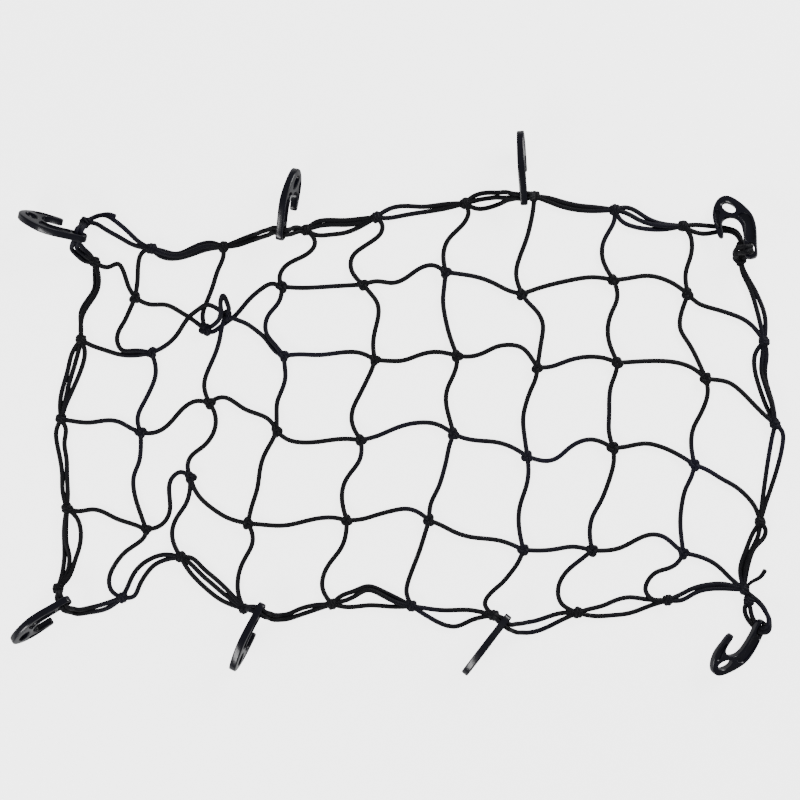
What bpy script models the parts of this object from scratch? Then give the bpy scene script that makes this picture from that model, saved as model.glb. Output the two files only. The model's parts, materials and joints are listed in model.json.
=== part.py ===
"""Cargo net: a knotted net of black braided elastic cord with a doubled edge cord and eight plastic
hooks, lying loosely spread on a flat surface.

Frame: +Z up, the surface at Z = 0. Plan positions in the tables are millimetres across and down from
the top left corner of an 800 mm laying board, as the net is seen from above.
"""
import math

import bmesh
import bpy
import numpy as np
from mathutils import Matrix, Vector
from mathutils.bvhtree import BVHTree

MM = 0.001
BOARD_CENTRE = (399.6, 404.3)

# Cord and knots, millimetres.
CORD = 4.3
CORD_SIDES = 5
KNOT_LENGTH = 12.2
KNOT_WIDTH = 12.0
KNOT_HEIGHT = 8.0
KNOT_SIDES = 6
KNOT_RINGS = ((-0.50, 0.42), (-0.30, 0.92), (-0.02, 0.76), (0.26, 1.00), (0.50, 0.50))
KNOT_LIFT = 1.6
EDGE_KNOT_SCALE = 1.08
TRIM = 7.7
BEND_SAG = 1.25
STRAIGHT_RATE = 0.002
SAMPLE = 0.7
# A cord's centre above its underside, and a strand's straight run and place in a hook's eye.
CORD_RISE = 1.83
EYE_REACH = 5.6
EYE_SPREAD = 2.35
# A mesh strand's centre line stops this far from the surface of the edge cord.
STAND_OFF = 2.7
END_SEARCH = 40

# Hook, millimetres in its own plane: x runs from the eye end to the crown, y towards the tip.
HOOK_THICK = 7.2
HOOK_RECESS = 2.1
HOOK_EYE = (8.2, 0.0)
HOOK_OUTLINE = (
    (0.5, -4.5), (9.2, -6.2), (28.6, -6.8), (43.2, -4.5), (52.9, 1.4), (61.6, 9.4), (67.9, 19.6),
    (65.8, 27.6), (57.2, 33.0), (46.1, 34.5), (35.4, 32.6), (25.0, 29.2), (25.6, 25.8), (38.6, 26.2),
    (44.1, 22.8), (44.6, 16.1), (39.8, 9.8), (29.6, 6.6), (10.7, 6.2), (0.5, 4.5),
)
SHANK_RECESS = (
    (17.0, -3.8), (30.1, -4.2), (41.7, -1.6), (46.6, 3.6), (45.1, 9.8), (40.3, 6.3), (30.1, 3.8),
    (17.0, 3.6),
)
ARM_RECESS = ((34.0, 28.2), (44.6, 28.2), (50.9, 27.6), (53.5, 30.7), (45.6, 32.0), (36.4, 30.3))
# Through holes: centre x, centre y, half length, half width, turn in degrees.
EYE_HOLE = (HOOK_EYE[0], HOOK_EYE[1], 6.2, 3.8, 0.0)
CROWN_HOLE = (54.9, 18.3, 8.0, 4.3, 48.0)
HOLE_SIDES = 8

# Where each hook lies: eye across, eye down, heading of the shank, pitch of the crown, roll, in degrees.
HOOKS = {
    "hook_top_left": (83, 239, 168, 15, 245),
    "hook_top_1": (283, 234, 82, 20, 255),
    "hook_top_2": (522, 199, 97, 25, 260),
    "hook_top_right": (744, 253, 90, -15, -20),
    "hook_bottom_right": (757, 627, 243, -5, 155),
    "hook_bottom_2": (502, 619, 229, 20, 280),
    "hook_bottom_1": (261, 608, 242, 20, -80),
    "hook_bottom_left": (68, 600, 210, 15, -70),
}

# Knots of the mesh: one row of the net a line, eight columns.
MESH_KNOTS = (
    ((136, 298), (206, 330), (282, 287), (363, 285), (445.5, 272.5), (521.5, 294.5), (613, 280.5),
     (687, 294.5)),
    ((152, 353), (226, 315.5), (284, 356), (375, 360), (457, 356), (537, 367.5), (617, 363),
     (705, 379)),
    ((141.5, 432.5), (210, 403), (277, 431), (361, 440), (453.5, 434), (527, 456.5), (612.5, 448),
     (693.5, 464.5)),
    ((147, 529), (191, 477), (248.5, 523), (347, 520), (429, 520), (523, 549.5), (591.5, 550),
     (682.5, 552.5)),
)
# Knots of the edge cord and the corner lashings: across, down, height of the underside. The first
# letter names the side: top, right, bottom or left.
EDGE_KNOTS = {
    "t0_wrap": (86.5, 223, 2),
    "t1": (152, 249, 0), "t2": (224, 247.5, 0), "t3": (306, 230.5, 0), "t4": (376, 218, 0),
    "t5": (465, 204, 0), "t6": (534, 197, 0), "t7": (614, 210.5, 0), "t8": (682, 226.5, 0),
    "t9": (740.3, 246, 3),
    "r0": (739, 260.3, 1), "r1": (763, 341.5, 0), "r2": (774, 424, 0), "r3": (759, 521.5, 0),
    "r4": (743, 589, 0), "r4_wrap": (748, 599.5, 0),
    "b0_wrap": (59.7, 587.3, 2),
    "b1": (123, 597, 0), "b2": (181.5, 556.5, 0), "b3": (244.5, 608, 0), "b4": (332, 603.5, 0),
    "b5": (412, 605.5, 0), "b6": (493, 614.5, 0), "b7": (577, 612, 0), "b8": (667, 599.5, 0),
    "l1": (96, 263, 0), "l2": (82, 340, 0), "l3": (62, 419, 0), "l4": (68, 508, 0),
}
ROW_ENDS = (("l1", "r1"), ("l2", "r2"), ("l3", "r3"), ("l4", "r4"))

# Strands of the edge cord: knot, knot, points between them (across, down and height when raised). An
# entry of a hook and a number is a pass through that hook's eye, and where along the eye.
EDGE_RUNS = {
    "edge_top": (
        ("t0_wrap", "t1", ((96, 217), (105, 215.5), (116, 221.5), (128, 231.5), (140, 242.5))),
        ("t0_wrap", "t1", ((95, 223.5), (105, 229), (119, 237), (135, 245.5))),
        ("t1", "t2", ((163, 251), (176, 254), (188, 250.3), (200, 244.8), (212, 243))),
        ("t1", "t2", ((160, 256), (175, 258.8), (190, 255.5), (206, 250))),
        ("t1", "t2", ((162, 253.4, 3.5), (176, 256.4, 3.5), (190, 253, 3.5), (206, 247, 3.5))),
        ("t2", "t3", ((240, 240.3), (253, 235.3), (267, 231.5, 8), ("hook_top_1", 1), (295, 229.5, 12))),
        ("t2", "t3", ((240, 244.9), (254, 240), (268, 236.5, 7), ("hook_top_1", -1), (295, 234.5, 10))),
        ("t3", "t4", ((316, 222.5), (330, 220.3), (346, 220.5), (361, 219))),
        ("t3", "t4", ((316, 227), (330, 225), (346, 225), (360, 223.3))),
        ("t3", "t4", ((317, 235.3), (330, 235), (345, 233), (356, 229))),
        ("t4", "t5", ((389, 209.3), (405, 206.3), (423, 207), (445, 204.5))),
        ("t4", "t5", ((388, 218.3), (402, 216), (421, 212.8), (443, 209.3))),
        ("t5", "t6", ((472, 197.5), (483, 193.5), (496, 193), (508, 194.5, 10), ("hook_top_2", 1), (530, 197, 15))),
        ("t5", "t6", ((477, 209), (489, 207.8), (499, 204.5, 1), (509, 201.2, 9), ("hook_top_2", -0.85), (530, 199.5, 15))),
        ("t5", "t6", ((476, 200.8), (489, 198.5), (499, 198.3, 3), (508.5, 199.8, 11), ("hook_top_2", -0.7), (530, 199, 16))),
        ("t6", "t7", ((547, 198), (562, 202), (580, 206), (598, 207.8))),
        ("t6", "t7", ((547, 201.5), (560, 206.4), (573, 209.6), (590, 211.2))),
        ("t7", "t8", ((625, 207.8), (635, 211), (646, 218), (657, 222.7))),
        ("t7", "t8", ((626, 213.5), (637, 219.3), (648, 224, 1.5), (661, 226.2, 3.3))),
        ("t7", "t8", ((621, 221), (633, 226.8), (647, 229.3), (664, 229.6))),
        ("t8", "t9", ((693, 225.2), (707, 226), (717, 227), (727, 228.7), (736, 232.5, 1))),
        ("t8", "t9", ((692, 231.5), (703, 234), (714, 232.7, 1), (726, 231.5, 2.5), (735, 235.5, 4))),
    ),
    "edge_right": (
        ("t9", "r0", ()),
        ("r0", "r0", ((743.5, 258.2, 8), (746.5, 257, 14), ("hook_top_right", -0.8), (737.4, 255.8, 32.3),
                      (732.3, 256, 21), (732, 259.5, 9))),
        ("r0", "r0", ((743, 258, 9), (747, 254.5, 16), ("hook_top_right", 0.8), (737.2, 250.4, 32.2),
                      (731.3, 251, 22), (731.2, 256.5, 13))),
        ("r0", "r1", ((742.2, 273), (748.8, 287), (754.3, 303), (759.3, 322))),
        ("r0", "r1", ((743.5, 272, 1.5), (751, 284.5), (758.8, 300), (764.5, 318))),
        ("r1", "r2", ((754.7, 354), (754.1, 369), (759, 388), (765.2, 405))),
        ("r1", "r2", ((762, 354), (760.8, 369), (764.8, 388, 3), (770.5, 406, 3.5))),
        ("r1", "r2", ((766, 353), (764.5, 370), (767.6, 389), (772.6, 407))),
        ("r2", "r3", ((771, 440), (768, 457), (765, 477), (762.3, 497))),
        ("r2", "r3", ((781.3, 431), (782, 444), (777.5, 465), (771.3, 485), (765.5, 502))),
        ("r3", "r4", ((751.8, 534), (745, 551), (739.8, 568))),
        ("r3", "r4", ((758, 534), (750.2, 551), (744.6, 568))),
        ("r3", "r4", ((765, 530), (763, 537.5), (755.5, 545, 2), (747.2, 562, 3.8))),
        ("r4", "r4_wrap", ((746, 594, 1),)),
        ("r4_wrap", "r4", ((744.3, 607.5), (746, 616.5), ("hook_bottom_right", 0.85), (762.8, 628.5, 16.5),
                           (765.2, 618.5, 14), (763.3, 609, 4), (758.5, 602, 1), (751.5, 596, 1))),
        ("r4_wrap", "r4", ((749.5, 607), (751, 614.5), ("hook_bottom_right", -0.85), (763, 623.5, 17),
                           (764.5, 616, 13), (762.5, 608.5, 4), (757.5, 602, 1), (751, 596, 1))),
    ),
    "edge_bottom": (
        ("b0_wrap", "b1", (("hook_bottom_left", -1), (78.5, 607.2, 11), (91, 607.2), (107, 602.8))),
        ("b0_wrap", "b1", (("hook_bottom_left", 1), (76, 611.5, 8), (90, 612), (107.5, 608))),
        ("b1", "b2", ((128.3, 586), (133.3, 575), (141, 565.3), (151, 558.6), (164, 554.5))),
        ("b1", "b2", ((134, 596), (139.5, 586), (146, 574.5), (154.5, 565), (166, 559.5))),
        ("b2", "b3", ((192, 557.8), (202, 566.5), (214, 577), (227, 589))),
        ("b2", "b3", ((191, 563.5), (201, 573.5), (213, 584), (226, 595))),
        ("b2", "b3", ((188, 568.6), (197.3, 579.6), (209, 590.5), (223, 600.5))),
        ("b3", "b4", (("hook_bottom_1", -1), (273, 612, 12), (284, 614.5), (298, 609.5), (314, 605))),
        ("b3", "b4", (("hook_bottom_1", 1), (271, 616.5, 10), (284, 619, 1), (298, 615.3), (314, 609.9))),
        ("b4", "b5", ((342, 595.3), (354, 590.8), (368, 586), (381, 590), (397, 597.8))),
        ("b4", "b5", ((345, 600.2), (356, 595.2), (367, 589.5, 3), (380, 593.3, 3.3), (395, 601, 3.3))),
        ("b4", "b5", ((346, 606.6), (369, 605), (392, 606.3))),
        ("b5", "b6", ((428, 608.3), (446, 610), (467, 609.6))),
        ("b5", "b6", ((422, 612.5), (431, 618), (443, 624), (456, 626), (470, 620.4))),
        ("b6", "b7", (("hook_bottom_2", -1), (517, 622, 9), (530, 621.5), (546, 617), (561, 612.8))),
        ("b6", "b7", (("hook_bottom_2", 1), (513, 629.5, 9), (524, 632.3), (539, 630), (558, 621.3))),
        ("b7", "b8", ((590, 608.5), (602, 605.5), (614, 600.5), (629, 597), (646, 599))),
        ("b7", "b8", ((592, 615.5), (611, 615), (629, 612.8), (648, 606))),
        ("b8", "r4", ((680, 594.2), (692, 588.3), (706, 584.6), (722, 583.6))),
        ("b8", "r4", ((681, 599.8), (694, 593), (707, 589), (722, 588.3))),
    ),
    "edge_left": (
        ("t0_wrap", "l1", (("hook_top_left", 1), (74, 249, 8), (78, 255.5, 2), (85, 261))),
        ("t0_wrap", "l1", (("hook_top_left", -1), (79.5, 248, 9), (84, 254.5, 2))),
        ("t0_wrap", "l1", (("hook_top_left", -0.9), (84.4, 247.5, 10), (90, 254, 2))),
        ("l1", "l2", ((95.4, 275), (95, 288), (88.5, 299.5), (81.6, 312), (81.4, 325))),
        ("l1", "l2", ((99.4, 275, 2.8), (98.8, 289, 2.8), (91.7, 302, 2.8), (84, 315, 2.8))),
        ("l2", "l3", ((73.2, 352), (68.8, 368), (64.4, 384), (60.8, 401))),
        ("l2", "l3", ((78.5, 353), (74, 369), (69.3, 385), (65.8, 401))),
        ("l2", "l3", ((85.2, 351), (83.4, 364), (78.7, 377), (73.3, 390, 1.5), (67.5, 404, 3.5))),
        ("l3", "l4", ((56.8, 431), (57.3, 442), (60.3, 457), (62.7, 475), (63.3, 492))),
        ("l3", "l4", ((66.3, 429), (65, 442), (66.8, 457), (67.5, 475), (68.3, 492))),
        ("l4", "b0_wrap", ((65, 524), (64.8, 542), (64.7, 560), (62.8, 573))),
        ("l4", "b0_wrap", ((67.7, 523, 4), (67.8, 541, 4), (70, 558), (67.8, 572))),
        ("l4", "b0_wrap", ((77.5, 518), (81.2, 531), (79.8, 547), (75, 562), (70.3, 576, 3))),
    ),
}
# Free ends: node, points, width at the start and at the tip.
CORD_TAG = ("edge_top", ((103, 214.8, 1.5), (109, 214.8, 2.5), (116.5, 217.4, 1.2)), (4.0, 5.2))
CORD_TAIL = ("edge_right", ((745, 588), (751, 581.8), (759.5, 577), (765, 569)), (2.6, 4.4))

# Bends of the mesh cord between its knots: one line for each row of the net, one entry a cell.
ROW_BENDS = (
    (((110, 267), (118, 264), (124, 272), (130, 289)),
     ((150, 304.5), (166, 305), (179, 311), (191, 318.5)),
     ((211, 332), (221, 326.5), (234, 317), (249, 300), (261, 289.5), (272, 284)),
     ((300, 288), (325, 287), (350, 285.5)),
     ((377, 281.5), (393, 283), (406, 278), (419, 269), (433, 265.5)),
     ((462, 274.5), (478, 277.5), (495, 284), (508, 290.5)),
     ((535, 289.5), (552, 284.5), (572, 280), (595, 277.5)),
     ((628, 278.5), (648, 276), (665, 280), (678, 287)),
     ((698, 303.5), (712, 308.5), (730, 314), (747, 322), (757, 332))),
    (((91, 345), (105, 350), (120, 354.5), (137, 355.3)),
     ((163, 347.5), (175, 337.5), (189.5, 318, 5.2), (198, 310), (209, 305.3, 5.2), (217, 308.5, 1)),
     ((236, 319.5, 5), (247, 324), (257, 331), (264, 337), (271, 346), (277, 352.5)),
     ((298, 354.5), (318, 355), (342, 352.5), (362, 353.5)),
     ((390, 361), (403, 360.5), (418, 355.5), (435, 352)),
     ((470, 356.5), (482, 353.5), (496, 347), (510, 345), (522, 348), (530.5, 357)),
     ((549, 367), (567, 361), (590, 356.8), (605, 358.5)),
     ((631, 362), (655, 361), (680, 363.5), (695, 370)),
     ((717, 380), (728, 382.5), (739, 390), (752, 403), (763, 414))),
    (((76, 421.5), (90, 422.5), (110, 420.3), (121, 422.5), (131, 428)),
     ((152, 433), (163, 429), (173, 420), (185, 407), (197, 401)),
     ((217, 398.5), (225, 397.5), (233, 401), (245, 409), (258, 414), (269, 419.5)),
     ((287, 439), (301, 442.3), (320, 441.5), (345, 438.8)),
     ((376, 436.3), (390, 430.5), (405, 425), (422, 422.5), (436, 424)),
     ((464, 438), (478, 440.5), (495, 442), (508, 445.5), (518, 450.5)),
     ((535, 459), (546, 460.8), (556, 458.3), (567, 449.5), (578, 442.3), (591, 439.5)),
     ((626, 446.5), (645, 443.5), (660, 446.5), (674, 452.5)),
     ((706, 469.5), (721, 478.5), (735, 486.5), (747, 497), (755, 508))),
    (((78, 511), (93, 509.3), (103, 511.5), (116, 518), (132, 523.5)),
     ((156, 527.5), (165, 521.5), (170, 511), (169.5, 492), (172, 478.5), (181, 472)),
     ((194, 487), (201, 498), (213, 508.5), (230, 518.5)),
     ((263, 524.5), (287, 525), (304, 521.3), (334, 517.5)),
     ((360, 519.3), (376, 515), (395, 510), (407, 508.7), (418, 512)),
     ((440, 524.5), (455, 532), (472, 537), (500, 540.5), (512, 544.5)),
     ((536, 550.3), (555, 549), (572, 546.5)),
     ((605, 550.3), (620, 547.5), (636, 539.5), (652, 534.3), (664, 537), (674, 545)),
     ((694, 555), (706, 559), (717, 565.5), (729, 577))),
)
# The same for the columns, from the top edge to the bottom edge.
COLUMN_BENDS = (
    (((142.5, 253), (139, 262), (138, 279)),
     ((131, 308), (125, 321), (118.5, 333), (118, 343), (123, 350.2, 1.5), (135, 350.8, 2.5)),
     ((155, 362), (156, 374), (152, 387), (144, 403), (138, 419)),
     ((141.2, 447), (139, 463), (134.5, 475), (134, 488), (139, 508)),
     ((145, 536), (138, 543), (126, 551.5), (115, 565), (109.5, 580), (112.5, 591))),
    (((223.5, 257), (218.3, 270), (213.5, 285), (206.8, 302.5), (203, 315)),
     ((212, 326.5, 1), (218, 322, 4), (223, 314, 15), (224, 303, 24), (226.5, 297.5, 27),
      (229.5, 303, 22), (230, 311, 10)),
     ((222.5, 327, 2), (219.5, 341), (215, 355), (208, 371), (204.5, 386)),
     ((214.5, 412), (216, 423), (212, 436), (202, 447.5), (190.5, 457.5), (188, 467)),
     ((190, 491), (186, 504), (178, 516), (173, 528), (174, 543))),
    (((313, 237), (315, 244), (310, 252), (297, 259.5), (284, 268), (279.8, 278)),
     ((281, 297), (277, 305), (269.5, 314), (265.7, 324), (267.5, 335, 1), (274, 343.5, 2.2)),
     ((285, 367), (285.5, 377), (282, 390), (277.5, 402), (276.8, 414)),
     ((271.5, 442), (264, 456), (260, 471), (257.5, 488), (251.5, 508)),
     ((252.3, 533), (252.5, 543), (247.5, 554), (241, 567), (238, 581), (239.5, 597))),
    (((382, 224.5), (381.5, 232), (374, 240), (362, 248), (352.5, 257), (351, 268)),
     ((371, 294), (377.5, 304), (378.3, 316), (374.5, 333), (373.3, 348)),
     ((372, 369), (366, 382), (359, 396), (353, 409), (352, 422)),
     ((361.5, 451), (359.5, 460), (352, 471), (344.5, 483), (342, 497)),
     ((346, 533), (341, 548), (332, 560), (324, 574), (322.7, 588))),
    (((468.3, 212), (466, 220), (457, 230.5), (447.5, 241), (443.5, 253)),
     ((444.2, 286), (443, 301), (445, 317), (450, 337)),
     ((456.5, 365), (452, 378), (447, 390), (446, 403), (449, 417)),
     ((449.5, 445), (446.5, 459), (443, 473), (438, 488), (431, 503)),
     ((425, 533), (420, 549), (414, 565), (408.5, 580), (406.5, 592))),
    (((533, 209), (530.5, 223), (526, 240), (520, 256), (516, 274)),
     ((527.5, 302), (537, 312), (542.5, 324), (541.5, 339)),
     ((535.5, 378), (531, 389), (526, 403), (523, 418), (524, 434)),
     ((528.2, 472), (525.5, 488), (520.5, 503), (518.4, 520)),
     ((518.5, 561), (511, 572), (501, 583.5), (489.5, 594), (484.8, 603))),
    (((614, 220), (609, 231), (603, 243), (602, 257)),
     ((616.5, 290), (616.5, 300), (612, 311), (608, 324), (608, 338)),
     ((615.5, 372), (611, 385), (609, 399), (608.8, 415), (608.5, 430)),
     ((613.5, 460), (611, 473), (606, 488), (600, 502), (592.5, 516), (589.5, 530)),
     ((583.5, 557), (572, 566), (561.5, 578), (557.8, 590), (560.5, 602))),
    (((689, 234), (691.5, 244), (690, 257), (685.5, 272)),
     ((683.5, 305), (680, 317), (680, 329), (687.3, 342), (696.6, 359)),
     ((707.3, 390), (705.5, 401), (699, 416), (693, 428), (690.8, 444)),
     ((691.5, 475), (685.5, 488), (682, 501), (680, 518)),
     ((677.5, 562), (668, 568), (656, 572), (647.3, 581), (645.2, 590), (650, 597.5, 2))),
)


def clear_scene():
    """Remove every object of the open scene."""
    for thing in list(bpy.data.objects):
        bpy.data.objects.remove(thing, do_unlink=True)


def make_material(name, colour, roughness):
    """A plain Principled material; nothing on the net is metal."""
    material = bpy.data.materials.new(name)
    material.use_nodes = True
    shader = material.node_tree.nodes["Principled BSDF"]
    shader.inputs["Base Color"].default_value = (*colour, 1.0)
    shader.inputs["Roughness"].default_value = roughness
    shader.inputs["Metallic"].default_value = 0.0
    return material


def cord_material():
    """Black braided polyester over rubber."""
    return make_material("black_braided_cord", (0.013, 0.013, 0.018), 0.72)


def hook_material():
    """Black moulded plastic with a little gloss."""
    return make_material("black_moulded_plastic", (0.012, 0.012, 0.016), 0.32)


def plan(across, down):
    """Board position to plan millimetres about the middle of the net, +Y up the board."""
    return across - BOARD_CENTRE[0], BOARD_CENTRE[1] - down


def smooth_route(points):
    """Close samples along a cord: natural cubic splines in plan, and soft steps between heights."""
    flat = np.array([plan(*point[:2]) for point in points])
    rise = np.array([point[2] if len(point) > 2 else 0.0 for point in points])
    gaps = np.hypot(*np.diff(flat, axis=0).T)
    marks = np.concatenate(([0.0], np.cumsum(gaps)))
    count = len(marks)
    system = np.eye(count)
    right = np.zeros((count, 2))
    for i in range(1, count - 1):
        system[i, i - 1:i + 2] = gaps[i - 1], 2.0 * (gaps[i - 1] + gaps[i]), gaps[i]
        right[i] = 6.0 * ((flat[i + 1] - flat[i]) / gaps[i] - (flat[i] - flat[i - 1]) / gaps[i - 1])
    bend = np.linalg.solve(system, right)
    along = np.linspace(0.0, marks[-1], max(4, int(marks[-1] / SAMPLE)))
    cell = np.clip(np.searchsorted(marks, along, side="right") - 1, 0, count - 2)
    gap = gaps[cell]
    after = (along - marks[cell]) / gap
    before = 1.0 - after
    ease = (0.5 - 0.5 * np.cos(np.pi * after))
    before, after, gap = before[:, None], after[:, None], gap[:, None]
    curve = before * flat[cell] + after * flat[cell + 1]
    curve += ((before ** 3 - before) * bend[cell] + (after ** 3 - after) * bend[cell + 1]) * gap ** 2 / 6.0
    height = rise[cell] + (rise[cell + 1] - rise[cell]) * ease
    return np.column_stack((curve, height))


def path_lengths(path):
    """Distance along the path at each of its points."""
    return np.concatenate(([0.0], np.cumsum(np.linalg.norm(np.diff(path, axis=0), axis=1))))


def points_at(path, lengths, places):
    """Points at given distances along the path."""
    return np.column_stack([np.interp(places, lengths, path[:, axis]) for axis in range(3)])


def trim_path(path, trims):
    """The path without its first and last few millimetres."""
    lengths = path_lengths(path)
    first, last = trims[0], lengths[-1] - trims[1]
    places = lengths[(lengths > first + 0.3 * SAMPLE) & (lengths < last - 0.3 * SAMPLE)]
    return points_at(path, lengths, np.concatenate(([first], places, [last])))


def ring_places(path):
    """Distances of the rings, closer where the cord bends, so that no chord cuts a bend by much."""
    steps = np.diff(path, axis=0)
    lengths = np.linalg.norm(steps, axis=1)
    aims = steps / lengths[:, None]
    turns = np.arccos(np.clip((aims[1:] * aims[:-1]).sum(axis=1), -1.0, 1.0))
    rate = np.interp(np.arange(len(lengths)), np.arange(len(turns)) + 0.5, turns / lengths[1:])
    crowding = np.sqrt(np.maximum(rate, STRAIGHT_RATE) / (8.0 * BEND_SAG)) * lengths
    total = np.concatenate(([0.0], np.cumsum(crowding)))
    count = max(2, int(math.ceil(total[-1])) + 1)
    return np.interp(np.linspace(0.0, total[-1], count), total, path_lengths(path))


def tube(points, trims=(0.0, 0.0), widths=(CORD, CORD)):
    """A closed cord along the points, of a few flat sides with one of them down."""
    path = trim_path(smooth_route(points), trims)
    places = ring_places(path)
    centres = points_at(path, path_lengths(path), places)
    ahead = np.gradient(centres, axis=0)
    ahead /= np.linalg.norm(ahead, axis=1)[:, None]
    across = np.cross(ahead, (0.0, 0.0, 1.0))
    across /= np.linalg.norm(across, axis=1)[:, None]
    upward = np.cross(across, ahead)
    half = math.pi / CORD_SIDES
    turns = -0.5 * math.pi + half + 2.0 * half * np.arange(CORD_SIDES)
    radius = np.linspace(widths[0], widths[1], len(places)) / (2.0 * np.cos(turns).max())
    centres[:, 2] += radius * math.cos(half)
    rings = (centres[:, None] + radius[:, None, None] * (
        np.cos(turns)[None, :, None] * across[:, None] + np.sin(turns)[None, :, None] * upward[:, None]))
    return loft(rings)


def loft(rings):
    """Closed shell through equal rings of points, with a flat cap at each end."""
    count, sides = rings.shape[:2]
    faces = []
    for ring in range(count - 1):
        for side in range(sides):
            after = (side + 1) % sides
            low = ring * sides
            high = low + sides
            faces.append((low + side, low + after, high + after, high + side))
    faces.append(tuple(reversed(range(sides))))
    faces.append(tuple(range((count - 1) * sides, count * sides)))
    return rings.reshape(-1, 3), faces


def knot(across, down, lift, heading, scale=1.0):
    """A ridged lump: rings of differing girth along a level axis, flat underneath."""
    x, y = plan(across, down)
    turn = math.radians(heading)
    axis = np.array((math.cos(turn), math.sin(turn), 0.0))
    side = np.array((-math.sin(turn), math.cos(turn), 0.0))
    half = math.pi / KNOT_SIDES
    angles = -0.5 * math.pi + half + 2.0 * half * np.arange(KNOT_SIDES)
    centre = np.array((x, y, lift + 0.5 * KNOT_HEIGHT))
    rings = []
    for place, girth in KNOT_RINGS:
        ring = centre + axis * place * KNOT_LENGTH * scale
        wide = np.cos(angles)[:, None] * side * 0.5 * KNOT_WIDTH * girth * scale
        tall = np.sin(angles)[:, None] * np.array((0.0, 0.0, 1.0)) * 0.5 * KNOT_HEIGHT * girth
        rings.append(ring + wide + tall / math.cos(half))
    return loft(np.array(rings))


def shell_mesh(name, shell):
    """A mesh in metres from a shell in millimetres, its faces turned outwards."""
    points, faces = shell
    mesh = bpy.data.meshes.new(name)
    mesh.from_pydata([tuple(point) for point in np.asarray(points) * MM], [], faces)
    surface = bmesh.new()
    surface.from_mesh(mesh)
    bmesh.ops.recalc_face_normals(surface, faces=surface.faces)
    surface.to_mesh(mesh)
    surface.free()
    return mesh


def add_object(name, mesh, collection=None):
    """A linked object with the given mesh."""
    thing = bpy.data.objects.new(name, mesh)
    (collection or bpy.context.scene.collection).objects.link(thing)
    return thing


def combine(name, base, others, operation):
    """One mesh: the base shell joined with the others, or with the others cut away."""
    helpers = bpy.data.collections.new("helpers")
    bpy.context.scene.collection.children.link(helpers)
    for number, shell in enumerate(others):
        helper = add_object("helper_%03d" % number, shell_mesh("helper", shell), helpers)
        helper.hide_render = True
        helper.display_type = "WIRE"
    whole = add_object("whole", shell_mesh(name, base))
    boolean = whole.modifiers.new("combine", "BOOLEAN")
    boolean.operand_type = "COLLECTION"
    boolean.collection = helpers
    boolean.operation = operation
    boolean.solver = "EXACT"
    graph = bpy.context.evaluated_depsgraph_get()
    mesh = bpy.data.meshes.new_from_object(whole.evaluated_get(graph), depsgraph=graph)
    for thing in [whole, *helpers.objects]:
        bpy.data.objects.remove(thing, do_unlink=True)
    bpy.data.collections.remove(helpers)
    return mesh


def finish(name, mesh, material, sharp):
    """The named object of a finished mesh, with its material and smooth shading."""
    mesh.name = name
    mesh.materials.clear()
    mesh.materials.append(material)
    mesh.shade_smooth()
    mesh.set_sharp_from_angle(angle=math.radians(sharp))
    return add_object(name, mesh)


def lifted(point, lift=0.0):
    """A strand's end inside a knot, a little above the knot's underside."""
    return (point[0], point[1], lift + KNOT_LIFT)


def edge_end(name):
    """A strand's end inside a knot of the edge cord."""
    return lifted(EDGE_KNOTS[name], EDGE_KNOTS[name][2])


def clear_start(path, trees):
    """How far along a path its first part stays too near the surfaces in the trees."""
    lengths = path_lengths(path)
    for place in range(END_SEARCH, 0, -1):
        spot = Vector(path[place]) + Vector((0.0, 0.0, CORD_RISE))
        if any(tree.find_nearest(spot * MM, STAND_OFF * MM)[0] for tree in trees):
            return lengths[place + 1]
    return 0.0


def end_trims(route, first, last, trees):
    """Millimetres to take off a mesh strand at the left or top and at the right or bottom edge."""
    path = smooth_route(route)
    start = clear_start(path, trees) if first else 0.0
    end = clear_start(path[::-1], trees) if last else 0.0
    return start, end


def make_mesh(edges, material):
    """The knotted mesh: rows and columns of cord fused at their knots, cut short of the edge cord."""
    graph = bpy.context.evaluated_depsgraph_get()
    trees = [BVHTree.FromObject(edge, graph) for edge in edges]
    strands = []
    for knots, ends, bends in zip(MESH_KNOTS, ROW_ENDS, ROW_BENDS):
        stops = [edge_end(ends[0]), *map(lifted, knots), edge_end(ends[1])]
        strands.append((stops, bends))
    for number, bends in enumerate(COLUMN_BENDS):
        knots = [row[number] for row in MESH_KNOTS]
        ends = ("t%d" % (number + 1), "b%d" % (number + 1))
        strands.append(([edge_end(ends[0]), *map(lifted, knots), edge_end(ends[1])], bends))
    shells = []
    for stops, bends in strands:
        for place, via in enumerate(bends):
            route = (stops[place], *via, stops[place + 1])
            shells.append(tube(route, end_trims(route, place == 0, place == len(bends) - 1, trees)))
    for row, knots in enumerate(MESH_KNOTS):
        for column, (across, down) in enumerate(knots):
            shells.append(knot(across, down, 0.0, 45.0 + 25.0 * ((row + 2 * column) % 3 - 1)))
    return finish("mesh", combine("mesh", shells[0], shells[1:], "UNION"), material, 75.0)


def edge_route(start, end, via, poses):
    """All table points of a strand, with the places where it passes through a hook's eye."""
    route = [edge_end(start)]
    for point in via:
        if point[0] in poses:
            route += through_eye(poses[point[0]], point[1], route[-1])
        else:
            route.append(point)
    return [*route, edge_end(end)]


def make_edge(side, poses, material):
    """One side of the edge cord: strands fused at the knots of that side."""
    letter = side.split("_")[1][0]
    heading = 0.0 if letter in "tb" else 90.0
    shells = []
    for start, end, via in EDGE_RUNS[side]:
        trims = (0.0 if start[0] == letter else TRIM, 0.0 if end[0] == letter else TRIM)
        shells.append(tube(edge_route(start, end, via, poses), trims))
    for name, (across, down, lift) in EDGE_KNOTS.items():
        if name[0] == letter:
            shells.append(knot(across, down, lift, heading, EDGE_KNOT_SCALE))
    for owner, points, widths in (CORD_TAG, CORD_TAIL):
        if owner == side:
            shells.append(tube(points, widths=widths))
    return finish(side, combine(side, shells[0], shells[1:], "UNION"), material, 75.0)


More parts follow.
